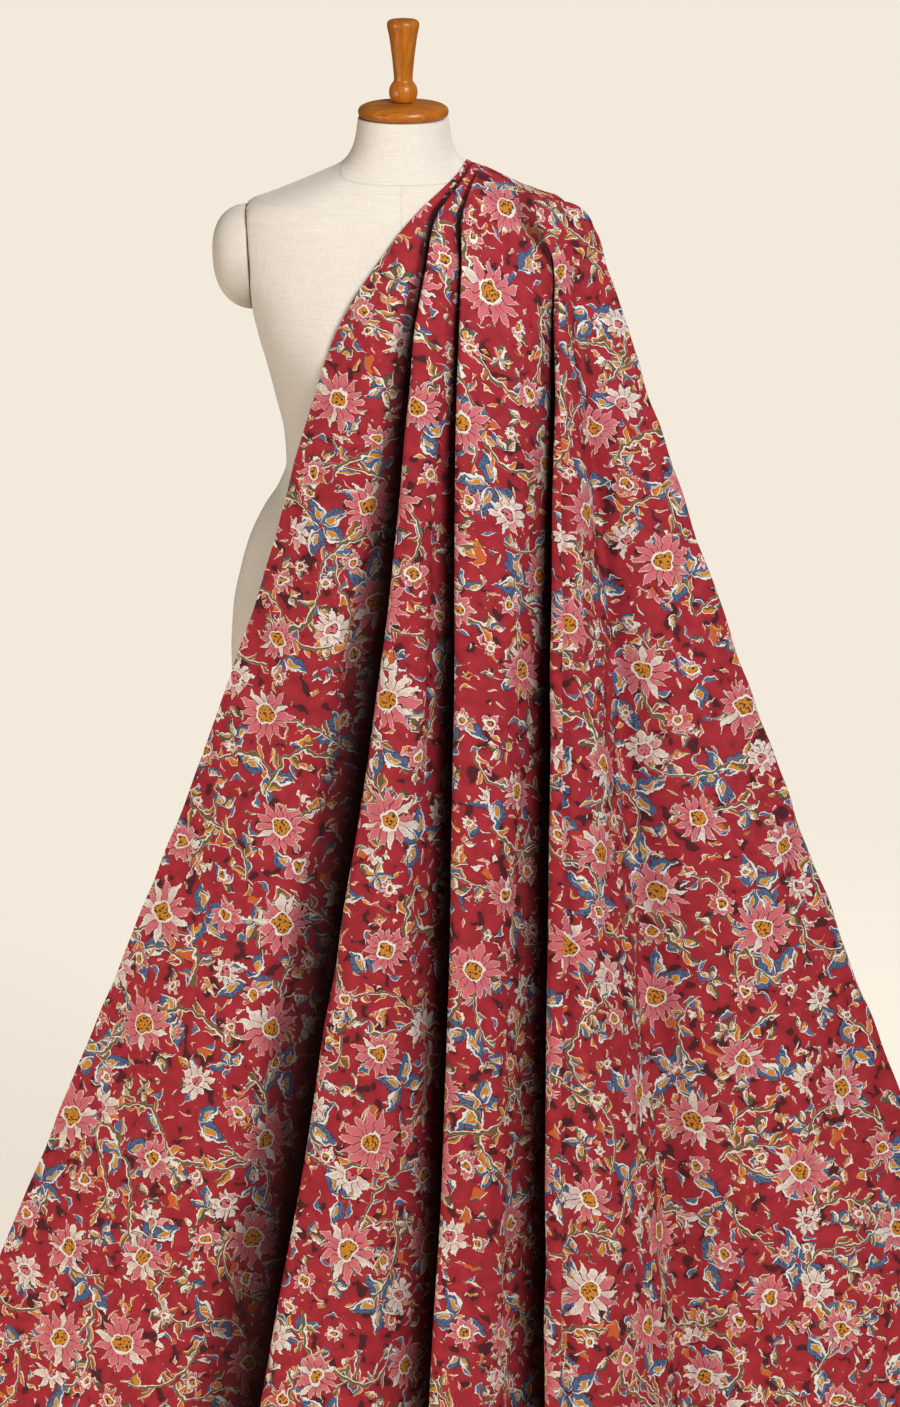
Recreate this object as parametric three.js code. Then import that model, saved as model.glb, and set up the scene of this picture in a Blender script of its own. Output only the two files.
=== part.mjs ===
// A length of flower-printed cloth gathered at one shoulder of a linen dress form. It fans out to the floor
// in deep folds, and its end hangs a little way down the back. Millimetres, +Z up, +X towards the draped
// shoulder, -Y to the front. The origin is the middle of the stand's foot, on the floor.
import * as THREE from "three";

// Driving dimensions
const SEAT_GAP = 0.3;
const FOOT_RADIUS = 165;
const FOOT_HEIGHT = 24;
const POLE_RADIUS = 16;
const TORSO_BOTTOM = 862;
const NECK_TOP = 1640;
const NECK_RADIUS = 54.5;
const CAP_DISC_HEIGHT = 18;
const FINIAL_HEIGHT = 99.5;
const CLOTH_THICK = 1.6;
const CLOTH_OFF_FORM = 2.3;

// How square the torso's sections are: 2 is an ellipse.
const SQUARENESS = 2.4;
const TORSO_STEPS = 40;

// Level sections of the torso and neck: half width, and how far it reaches to the front and to the back.
const TORSO = [
  { z: TORSO_BOTTOM, half: 150, front: 84, back: 92 },
  { z: 868, half: 180, front: 101, back: 110 },
  { z: 885, half: 200, front: 112, back: 122 },
  { z: 925, half: 212, front: 119, back: 130 },
  { z: 980, half: 214, front: 120, back: 132 },
  { z: 1035, half: 211, front: 117, back: 127 },
  { z: 1085, half: 201, front: 112, back: 118 },
  { z: 1125, half: 189, front: 107, back: 108 },
  { z: 1160, half: 172, front: 101, back: 99 },
  { z: 1190, half: 153, front: 96, back: 93 },
  { z: 1218, half: 144, front: 93, back: 90 },
  { z: 1255, half: 146, front: 95, back: 90 },
  { z: 1300, half: 156, front: 103, back: 92 },
  { z: 1340, half: 166, front: 110, back: 95 },
  { z: 1375, half: 176, front: 112, back: 99 },
  { z: 1407, half: 184, front: 109, back: 102 },
  { z: 1445, half: 197, front: 102, back: 103 },
  { z: 1490, half: 203, front: 93, back: 101 },
  { z: 1520, half: 201, front: 86, back: 97 },
  { z: 1536, half: 191, front: 81, back: 92 },
  { z: 1548, half: 160, front: 77, back: 87 },
  { z: 1560, half: 130, front: 73, back: 81 },
  { z: 1572, half: 102, front: 68, back: 74 },
  { z: 1583, half: 78, front: 63, back: 67 },
  { z: 1594, half: 67, front: 60, back: 61 },
  { z: 1612, half: 59, front: 57, back: 57 },
  { z: NECK_TOP, half: NECK_RADIUS, front: NECK_RADIUS, back: NECK_RADIUS },
];

// The bust: two soft mounds on the front of the torso.
const BUST = { out: 24, x: 82, z: 1338, wide: 48, tall: 52 };

// The flat armhole plates start at a height and lean in towards the bottom. A domed arm cap sits on each.
const PLATE = { x: 182.5, z: 1407, lean: 0.05, start: 1387 };
const ARM_CAP = { z: 1471.5, tall: 64, deep: 50, out: 45, fullness: 0.8, rings: 7, steps: 28 };

// The turned wooden pieces: radii and heights above each piece's bottom.
const FOOT = [
  { radius: FOOT_RADIUS - 3, height: 0 },
  { radius: FOOT_RADIUS, height: 4 },
  { radius: FOOT_RADIUS, height: 11 },
  { radius: FOOT_RADIUS - 7, height: 16 },
  { radius: 60, height: 20 },
  { radius: 40, height: FOOT_HEIGHT },
];
const POLE = [
  { radius: POLE_RADIUS, height: 0 },
  { radius: POLE_RADIUS, height: TORSO_BOTTOM - FOOT_HEIGHT - 2 * SEAT_GAP },
];
const CAP_DISC = [
  { radius: NECK_RADIUS - 4, height: 0 },
  { radius: NECK_RADIUS - 1, height: 3 },
  { radius: NECK_RADIUS, height: 7 },
  { radius: NECK_RADIUS - 2, height: 11 },
  { radius: NECK_RADIUS - 8, height: 15.5 },
  { radius: NECK_RADIUS - 20, height: CAP_DISC_HEIGHT },
];
const FINIAL = [
  { radius: 12.5, height: 0 },
  { radius: 15.5, height: 5 },
  { radius: 17.1, height: 12 },
  { radius: 16, height: 19 },
  { radius: 11.6, height: 25.5 },
  { radius: 11.2, height: 28 },
  { radius: 12.6, height: 45 },
  { radius: 16, height: 72 },
  { radius: 19.4, height: 92 },
  { radius: 18.6, height: 96.5 },
  { radius: 15, height: FINIAL_HEIGHT },
];

// Sections across the cloth, from the end on the back, over the shoulder and down the front to the hem.
// A pair is a line's x and y. A single z is a level section, and five are the heights at edge, fold3, fold4,
// side and end. front is the y of the foremost fold. depth is how far the valleys sink, the two left ones and
// the right one. tuck is how far they run on behind the next fold, and lean the way they sink: 0 degrees is
// back, 90 down and 180 forward.
const SECTIONS = [
  {
    z: [1402, 1398, 1396, 1404, 1424],
    edge: [44, 112], fold2: 70, fold3: 100, fold4: 150, crease: 180,
    side: [200, 90], end: [222, 74], front: 117, depth: [7, 4], tuck: 0, lean: 180,
  },
  {
    z: [1505, 1503, 1492, 1480, 1434],
    edge: [56, 104], fold2: 76, fold3: 98, fold4: 158, crease: 186,
    side: [209, 68], end: [228, 72], front: 109, depth: [5, 3], tuck: 0, lean: 160,
  },
  {
    z: [1568, 1558, 1530, 1510, 1438],
    edge: [70, 52], fold2: 84, fold3: 98, fold4: 165, crease: 190,
    side: [213, 38], end: [236, 66], front: 55, depth: [2, 2], tuck: 0, lean: 120,
  },
  {
    z: [1589, 1580, 1549, 1525, 1438],
    edge: [76, 4], fold2: 86, fold3: 97, fold4: 167, crease: 191,
    side: [215, 6], end: [241, 60], front: 3, depth: [1.5, 2], tuck: 0, lean: 90,
  },
  {
    z: [1577, 1565, 1537, 1512, 1434],
    edge: [60, -62], fold2: 70, fold3: 82, fold4: 172, crease: 194,
    side: [224, 0], end: [245, 58], front: -68, depth: [2.5, 3], tuck: 0, lean: 45,
  },
  {
    z: [1541, 1531, 1516, 1494, 1426],
    edge: [18, -87], fold2: 43, fold3: 73, fold4: 178, crease: 199,
    side: [236, -8], end: [248, 57], front: -94, depth: [9, 5], tuck: 1, lean: 15,
  },
  {
    z: [1478, 1475, 1468, 1455, 1410],
    edge: [-33, -104], fold2: 27, fold3: 69, fold4: 181, crease: 204,
    side: [248, -20], end: [250, 54], front: -124, depth: [18, 10], tuck: 4, lean: 0,
  },
  {
    z: [1410, 1410, 1405, 1400, 1380],
    edge: [-75, -117], fold2: 15, fold3: 67, fold4: 181, crease: 209,
    side: [267, -32], end: [254, 50], front: -152, depth: [29, 24], tuck: 9, lean: 0,
  },
  {
    z: 1320,
    edge: [-108, -128], fold2: 7, fold3: 65, fold4: 181, crease: 217,
    side: [293, -46], end: [262, 44], front: -176, depth: [42, 40], tuck: 14, lean: 0,
  },
  {
    z: 1110,
    edge: [-167, -128], fold2: -15, fold3: 63, fold4: 178, crease: 242,
    side: [366, -80], end: [300, 36], front: -198, depth: [66, 70], tuck: 22, lean: 0,
  },
  {
    z: 850,
    edge: [-257, -136], fold2: -50, fold3: 59, fold4: 176, crease: 268,
    side: [460, -104], end: [362, 36], front: -240, depth: [84, 90], tuck: 28, lean: 0,
  },
  {
    z: 450,
    edge: [-419, -170], fold2: -115, fold3: 47, fold4: 173, crease: 311,
    side: [612, -128], end: [478, 52], front: -318, depth: [100, 106], tuck: 36, lean: 0,
  },
  {
    z: 0,
    edge: [-606, -205], fold2: -194, fold3: 27, fold4: 171, crease: 353,
    side: [795, -148], end: [620, 70], front: -392, depth: [108, 114], tuck: 42, lean: 0,
  },
];

// Steps along the cloth between one section and the next.
const STEPS_BETWEEN = [3, 4, 4, 4, 3, 3, 2, 2, 3, 3, 3, 3];

// Where the tuck is less than this, the cloth is spread evenly across a pleat: the gather is tight there.
const FULL_TUCK = 4;

// How the cloth runs across one pleat: shares of its visible width, and how far it sinks as a share of depth.
const BROAD_PANEL = [
  { across: 0, sunk: 0.02 },
  { across: 0.14, sunk: 0 },
  { across: 0.3, sunk: 0 },
  { across: 0.47, sunk: 0.01 },
  { across: 0.62, sunk: 0.05 },
  { across: 0.76, sunk: 0.13 },
  { across: 0.88, sunk: 0.29 },
  { across: 0.96, sunk: 0.53 },
];
const ROUND_FOLD = [
  { across: 0.3, sunk: 0 },
  { across: 0.5, sunk: 0.03 },
  { across: 0.68, sunk: 0.1 },
  { across: 0.83, sunk: 0.22 },
  { across: 0.94, sunk: 0.42 },
];

// The crisp left edge of a fold, as shares of the depth on both axes.
const ROLL = [
  { across: 0, sunk: 0.19 },
  { across: 0.045, sunk: 0.07 },
  { across: 0.16, sunk: 0.005 },
];

// The hidden bottom of a valley, measured from the next fold's edge, as shares of the tuck and of the depth.
const VALLEY = [
  { tucked: 0.0, sunk: 0.86 },
  { tucked: 0.55, sunk: 1 },
  { tucked: 1, sunk: 0.93 },
  { tucked: 0.92, sunk: 0.7 },
  { tucked: 0.42, sunk: 0.42 },
];

// As shares of the depth: how wide a valley stands open, and how high the step at the crease is.
const GAP_SHARE = 0.2;
const CREASE_SHARE = 0.34;

// The last panel as shares of the way from the crease to the side, and the flap as shares of the way on to
// its end.
const LAST_PANEL = [0.16, 0.32, 0.48, 0.63, 0.78, 0.91];
const FLAP = [0.08, 0.32, 0.65, 1];

const mix = (a, b, share) => a + (b - a) * share;

// The torso's section at a height, between the two nearest rows of its table.
function torsoAt(z) {
  const above = TORSO.findIndex((row) => row.z >= z);
  const top = TORSO[above < 0 ? TORSO.length - 1 : Math.max(above, 1)];
  const low = TORSO[(above < 0 ? TORSO.length - 1 : Math.max(above, 1)) - 1];
  const share = THREE.MathUtils.clamp((z - low.z) / (top.z - low.z), 0, 1);
  return {
    half: mix(low.half, top.half, share),
    front: mix(low.front, top.front, share),
    back: mix(low.back, top.back, share),
  };
}

function bustOut(x, z) {
  const acrossIt = (Math.abs(x) - BUST.x) / BUST.wide;
  const upIt = (z - BUST.z) / BUST.tall;
  return BUST.out * Math.exp(-acrossIt * acrossIt - upIt * upIt);
}

const plateX = (z) => PLATE.x + (z - PLATE.z) * PLATE.lean;

// A point on the torso at an angle round its section, with the armhole plates cut flat.
function torsoPoint(z, angle) {
  const { half, front, back } = torsoAt(z);
  const power = 2 / SQUARENESS;
  const c = Math.cos(angle);
  const s = Math.sin(angle);
  const x = half * Math.sign(c) * Math.abs(c) ** power;
  const reach = s > 0 ? back : front + bustOut(x, z);
  const y = reach * Math.sign(s) * Math.abs(s) ** power;
  const inPlate = z > PLATE.start ? plateX(z) : half;
  return new THREE.Vector3(THREE.MathUtils.clamp(x, -inPlate, inPlate), y, z);
}

// A closed solid from rings of points that run anticlockwise seen from above, with a flat fan at each end.
function skinOf(rings) {
  const steps = rings[0].length;
  const places = rings.flat().flatMap((p) => [p.x, p.y, p.z]);
  const faces = [];
  for (let r = 0; r < rings.length - 1; r++) {
    for (let i = 0; i < steps; i++) {
      const next = (i + 1) % steps;
      const a = r * steps + i;
      const b = r * steps + next;
      faces.push(a, b, b + steps, a, b + steps, a + steps);
    }
  }
  [rings[0], rings.at(-1)].forEach((ring, end) => {
    const middle = new THREE.Vector3();
    ring.forEach((p) => middle.addScaledVector(p, 1 / steps));
    const centre = places.length / 3;
    const first = end ? (rings.length - 1) * steps : 0;
    places.push(middle.x, middle.y, middle.z);
    for (let i = 0; i < steps; i++) {
      const next = (i + 1) % steps;
      faces.push(centre, first + (end ? i : next), first + (end ? next : i));
    }
  });
  const geometry = new THREE.BufferGeometry();
  geometry.setAttribute("position", new THREE.Float32BufferAttribute(places, 3));
  geometry.setIndex(faces);
  geometry.computeVertexNormals();
  return geometry;
}

function torso() {
  const rings = TORSO.map(({ z }) =>
    Array.from({ length: TORSO_STEPS }, (_, i) => torsoPoint(z, (i * 2 * Math.PI) / TORSO_STEPS)),
  );
  return skinOf(rings);
}

// A domed cap on an armhole plate. side is 1 for the draped shoulder and -1 for the bare one.
function armCap(side) {
  const { z: middleZ, tall, deep, out, fullness, rings, steps } = ARM_CAP;
  const dome = [];
  for (let r = 0; r < rings; r++) {
    const rise = (r / rings) * (Math.PI / 2);
    const spread = Math.cos(rise) ** fullness;
    dome.push(
      Array.from({ length: steps }, (_, i) => {
        const angle = (side * i * 2 * Math.PI) / steps;
        const y = deep * spread * Math.cos(angle);
        const z = middleZ + tall * spread * Math.sin(angle);
        const x = plateX(z) + SEAT_GAP + out * Math.sin(rise);
        return new THREE.Vector3(side * x, y, z);
      }),
    );
  }
  return skinOf(dome);
}

// A turned piece from a table of radii and heights above its bottom, closed to the axis at both ends.
function turned(profile, bottom, steps) {
  const points = profile.map(({ radius, height }) => new THREE.Vector2(radius, bottom + height));
  const low = new THREE.Vector2(0, bottom + profile[0].height);
  const high = new THREE.Vector2(0, bottom + profile.at(-1).height);
  return new THREE.LatheGeometry([low, ...points, high], steps).rotateX(Math.PI / 2);
}

// How far outside the torso and the draped arm cap a point is, as a share of their size: negative inside.
function outsideTorso({ x, y, z }) {
  const { half, front, back } = torsoAt(z);
  const reach = y > 0 ? back : front + bustOut(x, z);
  const sum = Math.abs(x / half) ** SQUARENESS + Math.abs(y / reach) ** SQUARENESS;
  return sum ** (1 / SQUARENESS) - 1;
}

function outsideArmCap({ x, y, z }) {
  const { z: middleZ, tall, deep, out, fullness } = ARM_CAP;
  const outward = Math.max(x - plateX(z), 0) / out;
  const round = Math.hypot(y / deep, (z - middleZ) / tall);
  return Math.hypot(outward, round ** (1 / fullness)) - 1;
}

// Moves a point out of the form, so that it stays at least the given distance from it.
function clearOfForm(point, distance) {
  const probe = 0.5;
  const moved = point.clone();
  for (const outside of [outsideTorso, outsideArmCap, outsideTorso]) {
    for (let tries = 0; tries < 6; tries++) {
      const here = outside(moved);
      const slope = new THREE.Vector3(
        outside({ x: moved.x + probe, y: moved.y, z: moved.z }) - here,
        outside({ x: moved.x, y: moved.y + probe, z: moved.z }) - here,
        outside({ x: moved.x, y: moved.y, z: moved.z + probe }) - here,
      ).divideScalar(probe);
      const away = here / slope.length();
      if (away >= distance - 0.01) break;
      moved.addScaledVector(slope.normalize(), distance - away);
    }
  }
  return moved;
}

// The smooth front line of a section: y at x, through the free edge, the foremost fold and the side.
function frontLine({ edge, fold3, side, front }, x) {
  const [x0, y0] = edge;
  const [x2, y2] = side;
  const a = ((x - fold3) * (x - x2)) / ((x0 - fold3) * (x0 - x2));
  const b = ((x - x0) * (x - x2)) / ((fold3 - x0) * (fold3 - x2));
  const c = ((x - x0) * (x - fold3)) / ((x2 - x0) * (x2 - fold3));
  return a * y0 + b * front + c * y2;
}

// The height of a section at x, between its free edge and its side.
function heightAt({ z, edge, fold3, fold4, side }, x) {
  if (!Array.isArray(z)) return z;
  const places = [edge[0], fold3, fold4, side[0]];
  const last = places.findIndex((place) => place > x);
  const i = last < 0 ? 3 : Math.max(last, 1);
  const share = (x - places[i - 1]) / (places[i] - places[i - 1]);
  return mix(z[i - 1], z[i], THREE.MathUtils.clamp(share, 0, 1));
}

// The points of one section across the cloth, from its free edge to the end of the flap.
function sectionPoints(section) {
  const { edge, fold2, fold3, fold4, crease, side, end, depth, tuck } = section;
  const lean = THREE.MathUtils.degToRad(section.lean);
  const spread = Math.max(1 - tuck / FULL_TUCK, 0);
  const points = [];
  const add = (x, sunk, near = x) => {
    const y = frontLine(section, near) + sunk * Math.cos(lean);
    points.push(new THREE.Vector3(x, y, heightAt(section, near) - sunk * Math.sin(lean)));
  };
  const pleat = (from, to, shape, deep) => {
    const gap = deep * GAP_SHARE;
    const run = [
      ...shape.map(({ across, sunk }) => [mix(from, to - gap, across), sunk]),
      ...VALLEY.map(({ tucked, sunk }) => [to + tucked * tuck, sunk]),
      ...ROLL.map(({ across, sunk }) => [to + across * deep, sunk]),
    ];
    const start = run[0][0];
    const finish = run.at(-1)[0];
    run.forEach(([x, sunk], i) => {
      const even = mix(start, finish, i / (run.length - 1));
      add(mix(x, even, spread), sunk * deep, Math.min(mix(x, even, spread), to));
    });
  };

  pleat(edge[0], fold2, BROAD_PANEL, depth[0]);
  pleat(fold2, fold3, ROUND_FOLD, depth[0]);
  pleat(fold3, fold4, ROUND_FOLD, depth[1]);
  const step = depth[1] * CREASE_SHARE;
  ROUND_FOLD.forEach(({ across, sunk }) => add(mix(fold4, crease, across), sunk * 2 * step));
  add(crease, step);
  LAST_PANEL.forEach((share) => add(mix(crease, side[0], share), step * (1 - share) ** 2));
  add(side[0], 0);
  const corner = points.at(-1);
  const endZ = Array.isArray(section.z) ? section.z[4] : section.z;
  const flapEnd = new THREE.Vector3(end[0], end[1], endZ);
  FLAP.forEach((share) => points.push(corner.clone().lerp(flapEnd, share)));
  return points;
}

// The middle surface of the cloth as rows of points, from the end on the back to the hem.
function clothRows() {
  const sections = SECTIONS.map(sectionPoints);
  const columns = sections[0].map((_, i) =>
    new THREE.CatmullRomCurve3(sections.map((points) => points[i]), false, "centripetal"),
  );
  const rows = [];
  const row = (place) => columns.map((column) => column.getPoint(place / (sections.length - 1)));
  STEPS_BETWEEN.forEach((steps, i) => {
    for (let s = 0; s < steps; s++) rows.push(row(i + s / steps));
  });
  rows.push(row(sections.length - 1));
  return rows.map((points) => points.map((p) => clearOfForm(p, CLOTH_OFF_FORM + CLOTH_THICK / 2)));
}

// The way the cloth faces at a point of its middle surface. At the hem it is level, so that the hem is flat.
function facing(rows, r, c) {
  const along = rows[Math.min(r + 1, rows.length - 1)][c].clone().sub(rows[Math.max(r - 1, 0)][c]);
  const across = rows[r][Math.min(c + 1, rows[r].length - 1)].clone().sub(rows[r][Math.max(c - 1, 0)]);
  const normal = across.cross(along).negate();
  if (r === rows.length - 1) normal.z = 0;
  return normal.normalize();
}

// The cloth: both faces half its thickness from the middle surface, closed along the hem and the free edges.
function cloth() {
  const rows = clothRows();
  const count = rows[0].length;
  const places = [];
  for (const half of [CLOTH_THICK / 2, -CLOTH_THICK / 2]) {
    rows.forEach((points, r) =>
      points.forEach((p, c) => {
        const q = p.clone().addScaledVector(facing(rows, r, c), half);
        places.push(q.x, q.y, q.z);
      }),
    );
  }
  const under = rows.length * count;
  const faces = [];
  const quad = (a, b, c, d) => faces.push(a, b, c, a, c, d);
  for (let r = 0; r < rows.length - 1; r++) {
    for (let c = 0; c < count - 1; c++) {
      const a = r * count + c;
      quad(a, a + count, a + count + 1, a + 1);
      quad(under + a, under + a + 1, under + a + count + 1, under + a + count);
    }
    const left = r * count;
    const right = left + count - 1;
    quad(left, under + left, under + left + count, left + count);
    quad(right, right + count, under + right + count, under + right);
  }
  for (let c = 0; c < count - 1; c++) {
    const hem = (rows.length - 1) * count + c;
    quad(c, c + 1, under + c + 1, under + c);
    quad(hem, under + hem, under + hem + 1, hem + 1);
  }
  const geometry = new THREE.BufferGeometry();
  geometry.setAttribute("position", new THREE.Float32BufferAttribute(places, 3));
  geometry.setIndex(faces);
  geometry.computeVertexNormals();
  return geometry;
}

const linen = new THREE.MeshStandardMaterial({ color: 0xe6dccb, roughness: 0.92 });
const wood = new THREE.MeshStandardMaterial({ color: 0xa8611f, roughness: 0.35 });
const printedCloth = new THREE.MeshStandardMaterial({
  color: 0xa82c38,
  roughness: 0.85,
  side: THREE.DoubleSide,
});

function named(name, geometry, material) {
  const mesh = new THREE.Mesh(geometry, material);
  mesh.name = name;
  return mesh;
}

const drapedForm = new THREE.Group();
drapedForm.add(named("foot", turned(FOOT, 0, 48), wood));
drapedForm.add(named("pole", turned(POLE, FOOT_HEIGHT + SEAT_GAP, 24), wood));
drapedForm.add(named("torso", torso(), linen));
drapedForm.add(named("arm_cap_bare", armCap(-1), linen));
drapedForm.add(named("arm_cap_draped", armCap(1), linen));
drapedForm.add(named("neck_cap", turned(CAP_DISC, NECK_TOP + SEAT_GAP, 40), wood));
drapedForm.add(named("finial", turned(FINIAL, NECK_TOP + CAP_DISC_HEIGHT + 2 * SEAT_GAP, 28), wood));
drapedForm.add(named("cloth", cloth(), printedCloth));

export default drapedForm;
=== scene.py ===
"""A length of flower-printed cloth draped from one shoulder of a linen dress form on a wooden stand."""
import math

import bpy
import numpy as np
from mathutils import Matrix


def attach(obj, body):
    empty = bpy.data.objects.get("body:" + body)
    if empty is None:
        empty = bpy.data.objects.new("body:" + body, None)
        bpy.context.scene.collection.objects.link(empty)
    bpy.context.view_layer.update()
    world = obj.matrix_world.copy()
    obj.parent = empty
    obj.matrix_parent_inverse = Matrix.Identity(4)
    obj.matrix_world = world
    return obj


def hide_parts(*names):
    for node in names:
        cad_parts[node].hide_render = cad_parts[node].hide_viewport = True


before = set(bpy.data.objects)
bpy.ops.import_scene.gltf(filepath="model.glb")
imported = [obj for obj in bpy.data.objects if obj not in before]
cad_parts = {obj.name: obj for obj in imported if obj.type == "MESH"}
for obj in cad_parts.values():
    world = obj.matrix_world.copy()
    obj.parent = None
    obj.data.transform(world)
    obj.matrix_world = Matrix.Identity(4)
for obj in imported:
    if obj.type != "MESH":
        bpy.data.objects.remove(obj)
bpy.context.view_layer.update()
scene = bpy.context.scene

# The camera stands 6 m in front of the form and over its neck, and looks down along the cloth through a long
# lens, as in the photograph.
LOOKS_DOWN = 15.74
camera = bpy.data.objects.new("camera", bpy.data.cameras.new("camera"))
camera.data.sensor_width = 36
camera.data.lens = 128.6
camera.location = (0.056, -6.0, 2.6)
camera.rotation_euler = (math.radians(90 - LOOKS_DOWN), 0, 0)
scene.collection.objects.link(camera)
scene.camera = camera


# The torso is padded and covered with tight linen, sewn at the neck, down the middle of the front and back and
# round the armholes. Lengths are in millimetres, and MM turns them into metres.
MM = 0.001
SQUARENESS = 2.4
TORSO_STEPS = 200

# Each row is a height, half the torso's width there and its reach to the front and to the back
TORSO = [
    (862, 150, 84, 92),
    (868, 180, 101, 110),
    (885, 200, 112, 122),
    (925, 212, 119, 130),
    (980, 214, 120, 132),
    (1035, 211, 117, 127),
    (1085, 201, 112, 118),
    (1125, 189, 107, 108),
    (1160, 172, 101, 99),
    (1190, 153, 96, 93),
    (1218, 144, 93, 90),
    (1255, 146, 95, 90),
    (1300, 156, 103, 92),
    (1340, 166, 110, 95),
    (1375, 176, 112, 99),
    (1407, 184, 109, 102),
    (1445, 197, 102, 103),
    (1490, 203, 93, 101),
    (1520, 201, 86, 97),
    (1536, 191, 81, 92),
    (1548, 160, 77, 87),
    (1560, 130, 73, 81),
    (1572, 102, 68, 74),
    (1583, 78, 63, 67),
    (1594, 67, 60, 61),
    (1612, 59, 57, 57),
    (1640, 54.5, 54.5, 54.5),
]
# A soft mound on each side of the chest, the flat armhole plates, which lean out as they rise from their start,
# and the seams
BUST = {"out": 24, "x": 82, "z": 1338, "wide": 48, "tall": 52}
PLATE = {"x": 182.5, "z": 1407, "lean": 0.05, "start": 1387}
NECK_SEAM = {"z": 1590, "slope": 0.3}
FRONT_SEAM_X = -2


def eased(places, values, wanted):
    """A smooth line through the values that never swings past them."""
    places, values, wanted = (np.asarray(v, float) for v in (places, values, wanted))
    step = np.diff(places)
    slope = np.diff(values) / step
    same = slope[1:] * slope[:-1] > 0
    before = np.where(same, slope[:-1], 1)
    after = np.where(same, slope[1:], 1)
    near = 2 * step[1:] + step[:-1]
    far = step[1:] + 2 * step[:-1]
    tangent = np.concatenate([slope[:1], np.where(same, (near + far) / (near / before + far / after), 0), slope[-1:]])
    i = np.clip(np.searchsorted(places, wanted) - 1, 0, len(step) - 1)
    t = (wanted - places[i]) / step[i]
    return (
        values[i] * (2 * t**3 - 3 * t**2 + 1)
        + tangent[i] * step[i] * (t**3 - 2 * t**2 + t)
        + values[i + 1] * (3 * t**2 - 2 * t**3)
        + tangent[i + 1] * step[i] * (t**3 - t**2)
    )


def torso_at(z):
    """Half width and reach to the front and back of the torso at each height."""
    heights, *sides = zip(*TORSO)
    inside = np.clip(z, heights[0], heights[-1])
    return [eased(heights, side, inside) for side in sides]


def bust_out(x, z):
    """How far the bust stands out from the chest."""
    across = (np.abs(x) - BUST["x"]) / BUST["wide"]
    up = (z - BUST["z"]) / BUST["tall"]
    return BUST["out"] * np.exp(-(across**2) - up**2)


def plate_x(z):
    """How far the armhole plates stand from the middle at each height."""
    return PLATE["x"] + (z - PLATE["z"]) * PLATE["lean"]


def faces_of(rows, columns, closed):
    """Four-cornered faces of a grid of points; closed joins the last column to the first."""
    r, c = np.mgrid[0 : rows - 1, 0 : columns if closed else columns - 1]
    a = (r * columns + c).ravel()
    b = (r * columns + (c + 1) % columns).ravel()
    return np.stack([a, b, b + columns, a + columns], axis=1)


# Corners of more degrees than this stay crisp
CRISP_CORNER = 38


def make_piece(name, points, faces, finishes, node):
    """A smooth-shaded piece of the object from points in millimetres. It stands for one node of the frame."""
    mesh = bpy.data.meshes.new(name)
    mesh.from_pydata((np.asarray(points).reshape(-1, 3) * MM).tolist(), [], [list(map(int, f)) for f in faces])
    mesh.shade_smooth()
    mesh.set_sharp_from_angle(angle=math.radians(CRISP_CORNER))
    for finish in finishes:
        mesh.materials.append(finish.material)
    made = bpy.data.objects.new(name, mesh)
    scene.collection.objects.link(made)
    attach(made, "root")
    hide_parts(node)
    return made


def ringed(name, rings, finishes, node):
    """A closed piece from rings of points, each end drawn in to the middle of its ring."""
    rows, steps = rings.shape[:2]
    low, high = rings[0].mean(axis=0), rings[-1].mean(axis=0)
    points = np.concatenate([rings.reshape(-1, 3), [low, high]])
    faces = faces_of(rows, steps, True).tolist()
    last = rows * steps
    for i in range(steps):
        faces.append([last, (i + 1) % steps, i])
        faces.append([last + 1, last - steps + i, last - steps + (i + 1) % steps])
    return make_piece(name, points, faces, finishes, node)


class Wire:
    """A socket in a material's nodes. Sums with it add Math nodes."""

    def __init__(self, finish, socket):
        self.finish = finish
        self.socket = socket

    def output(self, name):
        return Wire(self.finish, self.socket.node.outputs[name])

    def maths(self, operation, *values):
        return self.finish.node("ShaderNodeMath", {"operation": operation}, dict(enumerate(values)))

    def __add__(self, other):
        return self.maths("ADD", self, other)

    def __radd__(self, other):
        return self.maths("ADD", other, self)

    def __sub__(self, other):
        return self.maths("SUBTRACT", self, other)

    def __rsub__(self, other):
        return self.maths("SUBTRACT", other, self)

    def __mul__(self, other):
        return self.maths("MULTIPLY", self, other)

    def __rmul__(self, other):
        return self.maths("MULTIPLY", other, self)

    def __truediv__(self, other):
        return self.maths("DIVIDE", self, other)

    def __pow__(self, power):
        return self.maths("POWER", self, power)

    def __abs__(self):
        return self.maths("ABSOLUTE", self)

    def plus_times(self, plus, times):
        """This times a number or wire, and plus another."""
        return self.maths("MULTIPLY_ADD", self, times, plus)

    def most(self, other):
        return self.maths("MAXIMUM", self, other)

    def below(self, limit, soft):
        """1 where this is below the limit and 0 where it is above, with a soft edge."""
        settings = {"operation": "MULTIPLY_ADD", "use_clamp": True}
        return self.finish.node("ShaderNodeMath", settings, {0: self, 1: -1 / soft, 2: limit / soft + 0.5})

    def parts(self):
        """The x, y and z of a vector or the red, green and blue of a colour."""
        split = self.finish.node("ShaderNodeSeparateXYZ", {}, {0: self})
        return split, split.output("Y"), split.output("Z")


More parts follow.
